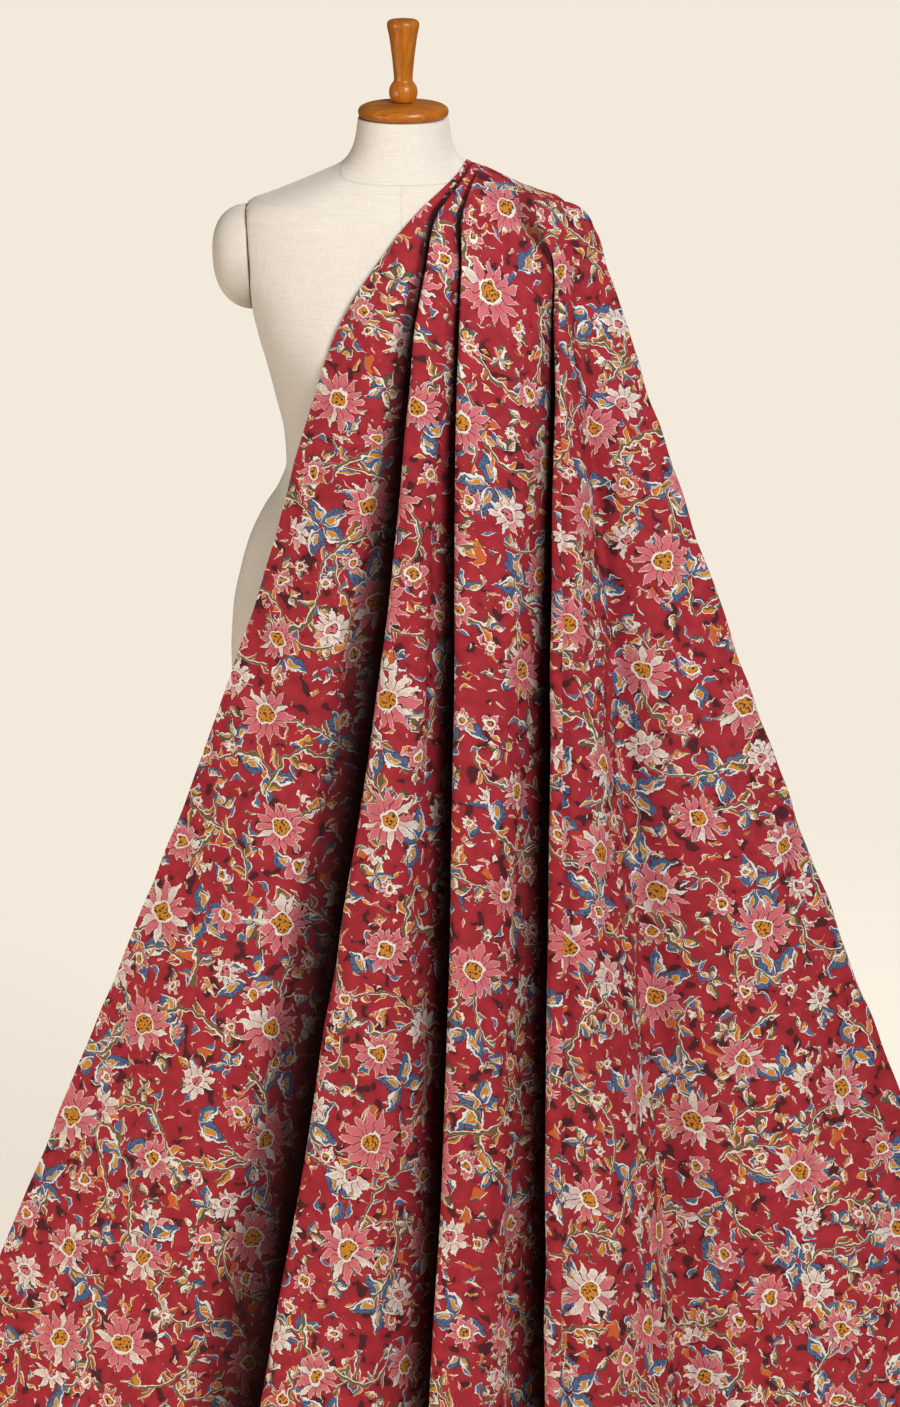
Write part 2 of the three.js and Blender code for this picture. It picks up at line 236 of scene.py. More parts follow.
class Finish:
    """A material under construction."""

    def __init__(self, name, **constants):
        self.material = bpy.data.materials.new(name)
        self.material.use_nodes = True
        self.tree = self.material.node_tree
        self.shader = self.tree.nodes["Principled BSDF"]
        for socket, value in constants.items():
            self.shader.inputs[socket.replace("_", " ")].default_value = value

    def node(self, kind, settings, sockets, out=0):
        made = self.tree.nodes.new(kind)
        for name, value in settings.items():
            setattr(made, name, value)
        for name, value in sockets.items():
            if isinstance(value, Wire):
                self.tree.links.new(value.socket, made.inputs[name])
            else:
                made.inputs[name].default_value = value
        return Wire(self, made.outputs[out])

    def vector(self, operation, *values):
        return self.node("ShaderNodeVectorMath", {"operation": operation}, dict(enumerate(values)))

    def blend(self, mask, under, over):
        """The colour over, laid on the colour under where the mask is 1."""
        return self.node("ShaderNodeMix", {"data_type": "RGBA"}, {0: mask, 6: under, 7: over}, out=2)

    def noise(self, place, stretch, detail=2.0, out=0):
        """Noise that repeats about once a metre times the stretch along each axis. Two numbers make it flat."""
        settings = {"noise_dimensions": "2D" if len(stretch) == 2 else "3D"}
        scale = stretch[0]
        if len(set(stretch)) > 1:
            place, scale = self.vector("MULTIPLY", place, (*stretch, 1)[:3]), 1.0
        return self.node("ShaderNodeTexNoise", settings, {"Vector": place, "Scale": scale, "Detail": detail}, out)

    def place(self):
        return self.node("ShaderNodeTexCoord", {}, {}, out="Object")

    def feed(self, **links):
        for socket, wire in links.items():
            self.tree.links.new(wire.socket, self.shader.inputs[socket.replace("_", " ")])

    def raise_by(self, height, distance):
        """Raises the surface by a height from 0 to 1 times a distance in metres."""
        bump = self.node("ShaderNodeBump", {}, {"Height": height, "Distance": distance, "Strength": 1.0})
        self.feed(Normal=bump)


def paint(red, green, blue):
    """A colour as it looks on a screen, from 0 to 255, as the shader's linear colour."""
    shares = [value / 255 for value in (red, green, blue)]
    return tuple(s / 12.92 if s <= 0.04045 else ((s + 0.055) / 1.055) ** 2.4 for s in shares) + (1.0,)


LINEN = paint(237, 231, 222)
LINEN_SHADE = paint(221, 211, 198)
SEAM_AND_PAINTED_SHADE = paint(140, 122, 100)
ARMHOLE_SHADE = paint(62, 46, 34)

# How far each sewn line reaches and how softly it ends, in metres, and how deep it lies in the weave
NECK_LINE = (0.0006, 0.0007)
MIDDLE_LINE = (0.0005, 0.0006)
SEAM_DEEP = 0.8
WEAVE_HIGH = 0.00025

# On an arm cap, how far the dark seam and the painted shade beside it reach from the plate, and the height under
# which the painted shade lies
CAP_LINE = 1.6
CAP_PAINTED_SHADE = {"reach": 14, "under": 1.455}


def linen_finish(name, seams):
    """Undyed linen: warp and weft threads of uneven thickness, faint streaks and clouds, and sewn seams. On the arm
    caps, painted shade lies beside the armhole seam, low down.
    """
    linen = Finish(name, Roughness=0.9, Specular_IOR_Level=0.25, Sheen_Weight=0.1, Sheen_Roughness=0.5)
    place = linen.place()
    warp = linen.noise(place, (640, 640, 26), detail=1.0)
    weft = linen.noise(place, (34, 34, 780), detail=1.0)
    cloudy = linen.noise(place, (26, 26, 11), detail=3.0)
    threads = (warp + weft) * 0.5
    colour = linen.blend((threads - 0.28) * 2.2, LINEN_SHADE, LINEN)
    colour = linen.blend(cloudy.below(0.5, 0.4) * 0.35, colour, LINEN_SHADE)
    x, y, z = place.parts()
    if seams:
        at_neck = abs(z - (y * NECK_SEAM["slope"] + NECK_SEAM["z"] * MM)).below(*NECK_LINE)
        under_neck = (z - y * NECK_SEAM["slope"]).below(NECK_SEAM["z"] * MM, 0.001)
        at_middle = abs(x - FRONT_SEAM_X * MM).below(*MIDDLE_LINE) * under_neck
        seam = at_neck.most(at_middle)
        colour = linen.blend(seam * 0.22, colour, SEAM_AND_PAINTED_SHADE)
    else:
        out = abs(x) - z * PLATE["lean"]
        plate_out = PLATE["x"] - PLATE["z"] * PLATE["lean"]
        seam = out.below((plate_out + CAP_LINE) * MM, 0.0012)
        # Painted shade: the linen is painted darker beside the plate in the cap's lower part, over a cap a little
        # darker all over
        beside = out.below((plate_out + CAP_PAINTED_SHADE["reach"]) * MM, 0.03)
        low = z.below(CAP_PAINTED_SHADE["under"], 0.06)
        colour = linen.blend((beside * low).plus_times(0.1, 0.6), colour, SEAM_AND_PAINTED_SHADE)
        colour = linen.blend(seam * 0.85, colour, ARMHOLE_SHADE)
    linen.feed(Base_Color=colour)
    linen.raise_by(threads - seam * SEAM_DEEP, WEAVE_HIGH)
    return linen


linen = linen_finish("linen", seams=True)
plain_linen = linen_finish("plain_linen", seams=False)

heights = np.concatenate([np.linspace(862, 925, 16), np.linspace(931, 1640, 128)])
half, front, back = (side[:, None] for side in torso_at(heights))
angles = np.arange(TORSO_STEPS) * 2 * np.pi / TORSO_STEPS
across, along = np.cos(angles)[None], np.sin(angles)[None]
levels = heights[:, None]
x = half * np.sign(across) * np.abs(across) ** (2 / SQUARENESS)
reach = np.where(along > 0, back, front + bust_out(x, levels))
y = reach * np.sign(along) * np.abs(along) ** (2 / SQUARENESS)
widest = np.where(levels > PLATE["start"], plate_x(levels), half)
torso_rings = np.stack([np.clip(x, -widest, widest), y, np.broadcast_to(levels, x.shape)], axis=-1)
ringed("linen_torso", torso_rings, [linen], "torso")


# The arm caps are padded domes of the same linen, sewn to the armholes. The one on the right is under the cloth.
ARM_CAP = {"z": 1471.5, "tall": 64, "deep": 50, "out": 45, "fullness": 0.8, "gap": 0.4}
CAP_RINGS = 28
CAP_STEPS = 96


def arm_cap(side):
    """A dome whose rim is on the armhole."""
    rise = np.linspace(0, 0.985, CAP_RINGS)[:, None] * np.pi / 2
    turn = side * np.arange(CAP_STEPS)[None] * 2 * np.pi / CAP_STEPS
    spread = np.cos(rise) ** ARM_CAP["fullness"]
    y = ARM_CAP["deep"] * spread * np.cos(turn)
    z = ARM_CAP["z"] + ARM_CAP["tall"] * spread * np.sin(turn)
    x = plate_x(z) + ARM_CAP["gap"] + ARM_CAP["out"] * np.sin(rise)
    return np.stack([side * x, y, z], axis=-1)


ringed("linen_arm_cap_bare", arm_cap(-1), [plain_linen], "arm_cap_bare")
ringed("linen_arm_cap_draped", arm_cap(1), [plain_linen], "arm_cap_draped")


# The neck cap and the finial are turned from a pale hardwood, stained caramel and varnished. The finial is
# screwed through the cap into the neck.
NECK_CAP = [
    (0, 0), (47, 0), (51.5, 1.2), (53.8, 4), (54.5, 7.5), (53.4, 11), (50, 14), (44, 16.2), (35, 17.5), (20, 18),
    (0, 18),
]
FINIAL = [
    (0, 0), (12, 0), (13.4, 1.2), (15.6, 5), (17, 10), (17.1, 13), (16.2, 18), (14.2, 22), (11.9, 25.2), (11.2, 27),
    (11.25, 30), (11.9, 38), (13.2, 52), (15, 66), (17, 80), (18.9, 89), (19.4, 92), (19.3, 94.5), (18, 97.4),
    (15, 99), (10, 99.5), (0, 99.5),
]
SEAT_GAP = 0.3
LATHE_STEPS = 128
WOOD = paint(196, 118, 36)
WOOD_STREAK = paint(160, 86, 20)
WOOD_PORE = paint(110, 54, 14)
GRAIN_BENDS = 0.006
GRAIN_HIGH = 0.0002


def turned(profile, bottom, name, finish, node, slot):
    """A piece turned on a lathe: its profile is eased along its length and swept round."""
    line = np.array(profile, float)
    length = np.concatenate([[0], np.cumsum(np.hypot(*np.diff(line, axis=0).T))])
    fine = np.linspace(0, length[-1], len(profile) * 8)
    fine = np.unique(np.concatenate([fine, length]))[1:-1]
    radius, height = eased(length, line[:, 0], fine), eased(length, line[:, 1], fine)
    turn = np.arange(LATHE_STEPS)[None] * 2 * np.pi / LATHE_STEPS
    rings = [radius[:, None] * np.cos(turn), radius[:, None] * np.sin(turn), (bottom + height)[:, None] + 0 * turn]
    return ringed(name, np.stack(rings, axis=-1), [finish], node)


def wood_finish(name, grain):
    """Stained and varnished hardwood. The grain's three numbers stretch it along the piece."""
    wood = Finish(name, Coat_Weight=0.14, Coat_Roughness=0.2, Specular_IOR_Level=0.28)
    place = wood.place()
    bends = wood.vector("MULTIPLY", wood.noise(place, (14, 14, 14), out=1), (GRAIN_BENDS,) * 3)
    bent = wood.vector("ADD", place, bends)
    streaks = wood.noise(bent, grain, detail=5.0)
    pores = wood.noise(bent, tuple(6 * g for g in grain), detail=2.0)
    colour = wood.blend(streaks.below(0.5, 0.45), WOOD, WOOD_STREAK)
    colour = wood.blend(pores.below(0.36, 0.06) * 0.5, colour, WOOD_PORE)
    wood.feed(Base_Color=colour, Roughness=streaks * 0.12 + 0.26)
    wood.raise_by(pores * 0.4 + streaks, GRAIN_HIGH)
    return wood


neck_top = TORSO[-1][0]
cap_tall = NECK_CAP[-1][1]
turned(NECK_CAP, neck_top + SEAT_GAP, "turned_neck_cap", wood_finish("wood_across", (22, 260, 90)), "neck_cap", "wood")
wood_upright = wood_finish("wood_upright", (240, 240, 14))
turned(FINIAL, neck_top + cap_tall + 2 * SEAT_GAP, "turned_finial", wood_upright, "finial", "wood")


# The stand is a round pole on a flat turned foot of the same wood.
POLE = [(0, 0), (15.2, 0), (16, 0.8), (16, 836.6), (15.2, 837.4), (0, 837.4)]
FOOT = [
    (0, 0), (160, 0), (162.5, 0.8), (164.6, 3), (165, 5), (165, 10), (164, 12.5), (161, 14.6), (156, 15.8),
    (110, 17.8), (62, 19.8), (50, 21.2), (42, 23.4), (38, 24), (0, 24),
]
turned(POLE, FOOT[-1][1] + SEAT_GAP, "turned_pole", wood_upright, "pole", "wood")
turned(FOOT, 0, "turned_foot", wood_finish("wood_foot", (14, 200, 60)), "foot", "wood")


# The cloth is one unstitched length of fine cotton and silk, printed on a crimson ground. It is gathered on
# the shoulder beside the neck, and it falls in broad folds to the floor and hangs a little way down the back.
CLOTH_THICK = 0.9
CLOTH_OFF_FORM = 2.2
CLOTH_ROWS = 150
CLOTH_COLUMNS = 328

# Sections across the cloth, from its end on the back, over the shoulder and down the front to the hem. A pair is
# a line's x and y. A single z is a level section, and five are the heights at edge, fold3, fold4, side and end.
# depth is how far the two left valleys and the right one sink, tuck how far they run on behind the next fold,
# and lean the way they sink: 0 degrees is back, 90 down and 180 forward.
SECTIONS = [
    dict(z=[1402, 1398, 1396, 1404, 1424], edge=(44, 112), fold2=70, fold3=100, fold4=150, crease=180,
         side=(200, 90), end=(222, 74), front=117, depth=(7, 4), tuck=0, lean=180),
    dict(z=[1505, 1503, 1492, 1480, 1434], edge=(56, 104), fold2=76, fold3=98, fold4=158, crease=186,
         side=(209, 68), end=(228, 72), front=109, depth=(5, 3), tuck=0, lean=160),
    dict(z=[1568, 1558, 1530, 1510, 1438], edge=(70, 52), fold2=84, fold3=98, fold4=165, crease=190,
         side=(213, 38), end=(236, 66), front=55, depth=(2, 2), tuck=0, lean=120),
    dict(z=[1589, 1580, 1549, 1525, 1438], edge=(76, 4), fold2=86, fold3=97, fold4=167, crease=191,
         side=(215, 6), end=(241, 60), front=3, depth=(1.5, 2), tuck=0, lean=90),
    dict(z=[1577, 1565, 1537, 1512, 1434], edge=(60, -62), fold2=70, fold3=82, fold4=172, crease=194,
         side=(224, 0), end=(245, 58), front=-68, depth=(2.5, 3), tuck=0, lean=45),
    dict(z=[1541, 1531, 1516, 1494, 1426], edge=(18, -87), fold2=43, fold3=73, fold4=178, crease=199,
         side=(236, -8), end=(248, 57), front=-94, depth=(9, 5), tuck=1, lean=15),
    dict(z=[1478, 1475, 1468, 1455, 1410], edge=(-33, -104), fold2=27, fold3=69, fold4=181, crease=204,
         side=(248, -20), end=(250, 54), front=-124, depth=(18, 10), tuck=4, lean=0),
    dict(z=[1410, 1410, 1405, 1400, 1380], edge=(-75, -117), fold2=15, fold3=67, fold4=181, crease=209,
         side=(267, -32), end=(254, 50), front=-152, depth=(29, 24), tuck=9, lean=0),
    dict(z=1320, edge=(-108, -128), fold2=7, fold3=65, fold4=181, crease=217,
         side=(293, -46), end=(262, 44), front=-176, depth=(42, 40), tuck=14, lean=0),
    dict(z=1110, edge=(-167, -128), fold2=-15, fold3=63, fold4=178, crease=242,
         side=(366, -80), end=(300, 36), front=-198, depth=(66, 70), tuck=22, lean=0),
    dict(z=850, edge=(-257, -136), fold2=-50, fold3=59, fold4=176, crease=268,
         side=(460, -104), end=(362, 36), front=-240, depth=(84, 90), tuck=28, lean=0),
    dict(z=450, edge=(-419, -170), fold2=-115, fold3=47, fold4=173, crease=311,
         side=(612, -128), end=(478, 52), front=-318, depth=(100, 106), tuck=36, lean=0),
    dict(z=0, edge=(-606, -205), fold2=-194, fold3=27, fold4=171, crease=353,
         side=(795, -148), end=(620, 70), front=-392, depth=(108, 114), tuck=42, lean=0),
]

# How the cloth runs across one pleat: the share of its visible width, and how far it sinks as a share of depth.
BROAD_PANEL = [(0, 0.02), (0.14, 0), (0.3, 0), (0.47, 0.01), (0.62, 0.05), (0.76, 0.13), (0.88, 0.29), (0.96, 0.53)]
ROUND_FOLD = [(0.3, 0), (0.5, 0.03), (0.68, 0.09), (0.83, 0.2), (0.95, 0.38)]

# A fold's crisp left edge as shares of the depth, and the hidden bottom of a valley as shares of tuck and depth.
ROLL = [(0, 0.19), (0.045, 0.07), (0.16, 0.005)]
VALLEY = [(0, 0.86), (0.55, 1), (1, 0.93), (0.92, 0.7), (0.42, 0.42)]
FULL_TUCK = 4
GAP_SHARE = 0.38

# The step in the right panel sinks by a share of the right valley's depth, and the panel rises again beyond it
CREASE_SHARE = 0.8
CREASE_FOLD = [(0.14, 0.1), (0.36, 0.01), (0.55, 0.1), (0.73, 0.34), (0.88, 0.7)]
LAST_PANEL = [0.16, 0.32, 0.48, 0.63, 0.78, 0.91]
FLAP = [0.08, 0.32, 0.65, 1]

# Painted shade: where a valley is deep, its print is painted dark. Beside a broad panel and a round fold, the share
# of the depth at which that begins and the further share over which it grows. deep is how many millimetres the
# left valleys and the right one have to sink for it to be full.
VALLEY_SHADE = {"broad": (0.2, 0.5), "round": (0.37, 0.1), "deep": (3, 8)}


def section_points(section):
    """The points of one section across the cloth, from its free edge to the end of the flap."""
    (x0, y0), (x2, y2) = section["edge"], section["side"]
    fold2, fold3, fold4, crease = (section[name] for name in ("fold2", "fold3", "fold4", "crease"))
    z = section["z"] if isinstance(section["z"], list) else [section["z"]] * 5
    lean = math.radians(section["lean"])
    spread = max(1 - section["tuck"] / FULL_TUCK, 0)
    left, right = section["depth"]
    full_left, full_right = VALLEY_SHADE["deep"]
    points = []

    def front_line(x):
        """The y of the folds' fronts: a curve through the edge, the third fold and the side."""
        a = (x - fold3) * (x - x2) / ((x0 - fold3) * (x0 - x2))
        b = (x - x0) * (x - x2) / ((fold3 - x0) * (fold3 - x2))
        c = (x - x0) * (x - fold3) / ((x2 - x0) * (x2 - fold3))
        return a * y0 + b * section["front"] + c * y2

    # dark is how strongly the print is painted dark as shade at the point
    def add(x, sunk, near=None, dark=0):
        near = x if near is None else near
        height = np.interp(near, [x0, fold3, fold4, x2], z[:4])
        points.append((x, front_line(near) + sunk * math.cos(lean), height - sunk * math.sin(lean), dark))

    def pleat(start, stop, shape, deep, shade_ramp, full):
        """One fold from its crisp edge at start, the valley beyond it and the next fold's edge at stop."""
        run = [(start + (stop - deep * GAP_SHARE - start) * share, sunk) for share, sunk in shape]
        run += [(stop + share * section["tuck"], sunk) for share, sunk in VALLEY]
        run += [(stop + share * deep, sunk) for share, sunk in ROLL]
        for i, (x, sunk) in enumerate(run):
            even = run[0][0] + (run[-1][0] - run[0][0]) * i / (len(run) - 1)
            placed = x + (even - x) * spread
            # Painted shade grows as the cloth sinks into a valley
            dark = np.clip((sunk - shade_ramp[0]) / shade_ramp[1], 0, 1) * min(deep / full, 1)
            add(placed, sunk * deep, min(placed, stop), dark)

    pleat(x0, fold2, BROAD_PANEL, left, VALLEY_SHADE["broad"], full_left)
    pleat(fold2, fold3, ROUND_FOLD, left, VALLEY_SHADE["round"], full_left)
    pleat(fold3, fold4, ROUND_FOLD, right, VALLEY_SHADE["round"], full_right)
    step = right * CREASE_SHARE
    for share, sunk in CREASE_FOLD:
        add(fold4 + (crease - fold4) * share, sunk * step)
    add(crease, step)
    for share in LAST_PANEL:
        add(crease + (x2 - crease) * share, step * (1 - share) ** 2)
    add(x2, 0)
    corner = np.array(points[-1])
    end = np.array([*section["end"], z[4], 0])
    points += [tuple(corner + (end - corner) * share) for share in FLAP]
    return points


def spline(places, wanted):
    """The matrix that carries values at the places to a smooth curve through them at the wanted places."""
    places, wanted = np.asarray(places, float), np.asarray(wanted, float)
    count = len(places)
    step = np.diff(places)
    slope = np.zeros((count, count))
    for i in range(count):
        low, high = max(i - 1, 0), min(i + 1, count - 1)
        if low == i or high == i:
            slope[i, high] += 1 / (places[high] - places[low])
            slope[i, low] -= 1 / (places[high] - places[low])
            continue
        for j, weight in ((low, step[i] / (step[low] + step[i])), (i, step[low] / (step[low] + step[i]))):
            slope[i, j + 1] += weight / step[j]
            slope[i, j] -= weight / step[j]
    i = np.clip(np.searchsorted(places, wanted) - 1, 0, count - 2)
    t = (wanted - places[i]) / step[i]
    rows = np.arange(len(wanted))
    matrix = np.zeros((len(wanted), count))
    matrix[rows, i] += 2 * t**3 - 3 * t**2 + 1
    matrix[rows, i + 1] += 3 * t**2 - 2 * t**3
    matrix += ((t**3 - 2 * t**2 + t) * step[i])[:, None] * slope[i]
    matrix += ((t**3 - t**2) * step[i])[:, None] * slope[i + 1]
    return matrix


def outside_torso(p):
    """0 on the torso, more outside it and less inside, as a share of its width."""
    half, front, back = torso_at(p[..., 2])
    reach = np.where(p[..., 1] > 0, back, front + bust_out(p[..., 0], p[..., 2]))
    total = np.abs(p[..., 0] / half) ** SQUARENESS + np.abs(p[..., 1] / reach) ** SQUARENESS
    return total ** (1 / SQUARENESS) - 1


def outside_arm_cap(p):
    """The same for the draped arm cap."""
    outward = np.maximum(p[..., 0] - plate_x(p[..., 2]), 0) / ARM_CAP["out"]
    round_it = np.hypot(p[..., 1] / ARM_CAP["deep"], (p[..., 2] - ARM_CAP["z"]) / ARM_CAP["tall"])
    return np.hypot(outward, round_it ** (1 / ARM_CAP["fullness"])) - 1


PROBE = 0.5
PUSHES = 6


def clear_of_form(points, distance):
    """Moves the points that are closer to the form than the distance straight out of it."""
    moved = points.copy()
    for outside in (outside_torso, outside_arm_cap, outside_torso):
        for _ in range(PUSHES):
            here = outside(moved)
            slope = np.stack([outside(moved + PROBE * axis) - here for axis in np.eye(3)], axis=-1) / PROBE
            steep = np.maximum(np.linalg.norm(slope, axis=-1), 1e-6)
            short = np.maximum(distance - here / steep, 0)
            moved = moved + (short / steep)[..., None] * slope
    return moved


# The first guess at the flat cloth is a fan whose columns meet this far over the top row, with the widths that
# the cloth has this share of the way down
FAN_OVER_TOP = 200
FAN_ROW = 0.8
FLAT_ROUNDS = 120
SOLVER_STEPS = 12


def laid_flat(points):
    """Lays a grid of points flat with as little stretching as it can, and gives the flat grid in its units."""
    rows, columns = points.shape[:2]
    count = rows * columns
    index = np.arange(count).reshape(rows, columns)
    a, b, c, d = (part.ravel() for part in (index[:-1, :-1], index[:-1, 1:], index[1:, 1:], index[1:, :-1]))
    triangles = np.concatenate([np.stack(t, axis=1) for t in ((a, b, c), (a, c, d))])

    # Each triangle in its own plane, and the weights of its three sides from the angles that face them
    place = points.reshape(-1, 3)[triangles]
    side, other = place[:, 1] - place[:, 0], place[:, 2] - place[:, 0]
    length = np.linalg.norm(side, axis=1)
    ahead = np.einsum("ij,ij->i", side, other) / length
    beside = np.linalg.norm(np.cross(side, other), axis=1) / length
    zero = np.zeros_like(length)
    own = np.stack([np.stack([zero, zero], 1), np.stack([length, zero], 1), np.stack([ahead, -beside], 1)], axis=1)
    starts, stops, far_corners = [0, 1, 2], [1, 2, 0], [2, 0, 1]
    u, v = own[:, starts] - own[:, far_corners], own[:, stops] - own[:, far_corners]
    cross = np.abs(u[..., 0] * v[..., 1] - u[..., 1] * v[..., 0])
    weight = np.clip((u * v).sum(axis=-1) / np.maximum(cross, 1e-9), 0.02, 50) / 2
    begin, end = triangles[:, starts].ravel(), triangles[:, stops].ravel()
    own_side = (own[:, starts] - own[:, stops])[..., 0] + 1j * (own[:, starts] - own[:, stops])[..., 1]

    def gathered(pull):
        """What the sides pull at their two ends, added up for each point."""
        parts = [np.bincount(begin, part, count) - np.bincount(end, part, count) for part in (pull.real, pull.imag)]
        return parts[0] + 1j * parts[1]

    def stiffness(flat):
        return gathered(weight.ravel() * (flat[begin] - flat[end]))

    # The first guess: every column straight, fanned out
    down = np.linalg.norm(np.diff(points, axis=0), axis=-1)
    fall = np.concatenate([np.zeros((1, columns)), np.cumsum(down, axis=0)])
    low = int(rows * FAN_ROW)
    widths = np.linalg.norm(np.diff(points[low], axis=0), axis=-1)
    turn = np.concatenate([[0], np.cumsum(widths)]) / (fall[low].mean() + FAN_OVER_TOP)
    flat = (-1j * (fall + FAN_OVER_TOP) * np.exp(1j * (turn - turn.mean()))).ravel()

    # Turn each triangle's own shape to fit, then move the points to suit all triangles, many times over
    for _ in range(FLAT_ROUNDS):
        turned = ((flat[begin] - flat[end]).reshape(-1, 3) * own_side.conj() * weight).sum(axis=1)
        turned /= np.maximum(np.abs(turned), 1e-9)
        pull = gathered((weight * own_side * turned[:, None]).ravel())
        rest = pull - stiffness(flat)
        way = rest.copy()
        for _ in range(SOLVER_STEPS):
            stiff = stiffness(way)
            share = np.vdot(rest, rest).real / np.vdot(way, stiff).real
            flat = flat + share * way
            left = rest - share * stiff
            way = left + way * (np.vdot(left, left).real / np.vdot(rest, rest).real)
            rest = left
    return np.stack([flat.real, flat.imag], axis=-1).reshape(rows, columns, 2)


COARSE_ROWS = 60
control = np.array([section_points(section) for section in SECTIONS])
# Each control point's fourth number is how strongly the print is painted dark there as shade
control, dark = control[..., :3], control[..., 3]
down = np.linalg.norm(np.diff(control, axis=0), axis=-1).mean(axis=1)
row_places = np.concatenate([[0], np.cumsum(np.sqrt(down))])
over = np.linalg.norm(np.diff(control[6:], axis=1), axis=-1).mean(axis=0)
column_places = np.concatenate([[0], np.cumsum(np.sqrt(over))])


def even_places(length, places, count, crowding):
    """Places for a finer grid: steps near even along the cloth, but closer where the given places are."""
    length = length + crowding * length.mean()
    return np.interp(np.linspace(0, 1, count), np.concatenate([[0], np.cumsum(length)]) / length.sum(), places)


def finer(rows, columns, grid):
    """A smooth grid through a coarser one."""
    return np.einsum("kl,ilm->ikm", columns, np.tensordot(rows, grid, axes=1))


coarse_rows = spline(row_places, even_places(down, row_places, COARSE_ROWS, 0.2))
coarse = clear_of_form(np.tensordot(coarse_rows, control, axes=1), CLOTH_OFF_FORM)
flat_coarse = laid_flat(coarse)
fine_rows = spline(np.arange(COARSE_ROWS), np.linspace(0, COARSE_ROWS - 1, CLOTH_ROWS))
fine_columns = spline(column_places, even_places(over, column_places, CLOTH_COLUMNS, 0.5))
cloth_points = finer(fine_rows, fine_columns, coarse)
flat_fine = finer(fine_rows, fine_columns, flat_coarse)


def outward(grid):
    """Unit normals of a grid of points, on its front."""
    down, over = np.gradient(grid, axis=0), np.gradient(grid, axis=1)
    normal = np.cross(down, over)
    return normal / np.maximum(np.linalg.norm(normal, axis=-1, keepdims=True), 1e-9)


# Soft uneven waves, as hung cloth has: how high, how wide and how long each kind is, and where it starts. They
# grow from the end on the back and have their whole height at one part in WAVES_GROW of the way to the hem.
WAVES = [
    {"high": 1.0, "wide": 118, "long": 1900, "start": 0.4},
    {"high": 0.8, "wide": 67, "long": 1300, "start": 2.1},
    {"high": 0.6, "wide": 41, "long": 700, "start": 4.4},
]
WAVES_GROW = 2.2
waving = 0
for wave in WAVES:
    sway = np.sin(flat_fine[..., 1] * 2 * np.pi / wave["long"]) * 2
    waving = waving + wave["high"] * np.sin(flat_fine[..., 0] * 2 * np.pi / wave["wide"] + wave["start"] + sway)
grown = (np.linspace(0, 1, CLOTH_ROWS)[:, None] * WAVES_GROW).clip(0, 1)
cloth_points = cloth_points + outward(cloth_points) * (waving * grown)[..., None]
cloth_points = clear_of_form(cloth_points, CLOTH_OFF_FORM)
cloth_points[..., 2] = np.maximum(cloth_points[..., 2], CLOTH_THICK / 2)


GROUND = paint(171, 45, 55)
DEEP_GROUND = paint(146, 33, 44)
INK = paint(74, 30, 34)
PINK = paint(216, 118, 124)
DEEP_PINK = paint(190, 84, 96)
PALE_PINK = paint(232, 164, 160)
CREAM = paint(236, 231, 218)
OCHRE = paint(206, 136, 42)
ORANGE = paint(202, 98, 48)
BLUE = paint(78, 106, 142)
NAVY = paint(42, 50, 84)
OLIVE = paint(108, 92, 58)
FADED = paint(190, 92, 94)
THREAD_SHADE = paint(120, 40, 44)
# The colour of the painted shade deep in the valleys
PAINTED_VALLEY_SHADE = paint(40, 8, 10)

# How softly a printed edge ends, and how wide each drawn line is, in metres
EDGE = 0.0005
FLOWER_PEN = {"outline": 0.0009, "rim": 0.0018, "between": 0.0005, "vein": 0.0003, "ring": 0.0037, "heart": 0.0006}
LEAF_PEN = {"outline": 0.0008, "rim": 0.0009, "core": 0.0007, "stroke": 0.0003}
STEM_PEN = {"stem": 0.0015, "rim": 0.0022, "leaf": 0.0012, "rib": 0.0004}
HEART_SHARE = 0.26

# Each kind of motif sits in the cells of its own turned grid, and a later kind hides the earlier ones. every is
# the cell's side and radius the motif's reach in metres, stray how far it may sit from the cell's middle.
FLOWERS = [
    dict(every=0.08, turn=40, stray=0.6, shift=0.8, radius=0.0135, petals=6, body=PINK, second=CREAM, heart=OCHRE),
    dict(every=0.104, turn=66, stray=0.5, shift=0.2, radius=0.023, petals=8, body=PINK, second=ORANGE, heart=OCHRE),
    dict(every=0.14, turn=-18, stray=0.5, shift=0.5, radius=0.029, petals=10, body=CREAM, second=PALE_PINK, heart=PINK),
    dict(every=0.132, turn=8, stray=0.4, shift=0.3, radius=0.0425, petals=14, body=PINK, second=CREAM, heart=OCHRE),
]
LEAVES = [
    dict(every=0.05, turn=21, stray=0.3, shift=0.4, radius=0.019, width=0.005, body=OCHRE, second=OLIVE, heart=ORANGE),
    dict(every=0.064, turn=-31, stray=0.3, shift=0.9, radius=0.025, width=0.006, body=BLUE, second=OLIVE, heart=OCHRE),
    dict(every=0.12, turn=70, stray=0.3, shift=0.1, radius=0.045, width=0.009, body=BLUE, second=BLUE, heart=OCHRE),
]
MARKS = [
    dict(every=0.021, turn=33, stray=0.5, shift=0.7, radius=0.0105, body=OLIVE, second=NAVY),
    dict(every=0.027, turn=12, stray=0.4, shift=0.2, radius=0.013, body=OCHRE, second=PINK),
    dict(every=0.03, turn=57, stray=0.4, shift=0.6, radius=0.015, body=BLUE, second=OCHRE),
]
STEMS = [
    dict(every=0.094, turn=-14, stray=0, shift=0.6, leaves=4, large=0.0068, body=OCHRE, second=OLIVE, heart=ORANGE),
    dict(every=0.136, turn=25, stray=0, shift=0.35, leaves=5, large=0.0088, body=OLIVE, second=BLUE, heart=OCHRE),
]
LEAVES_ROUND = 5

# How far the printer's hand wanders: in a motif's outline and in the run of a stem, in metres
WANDER = 0.011
STEM_BEND = 0.042


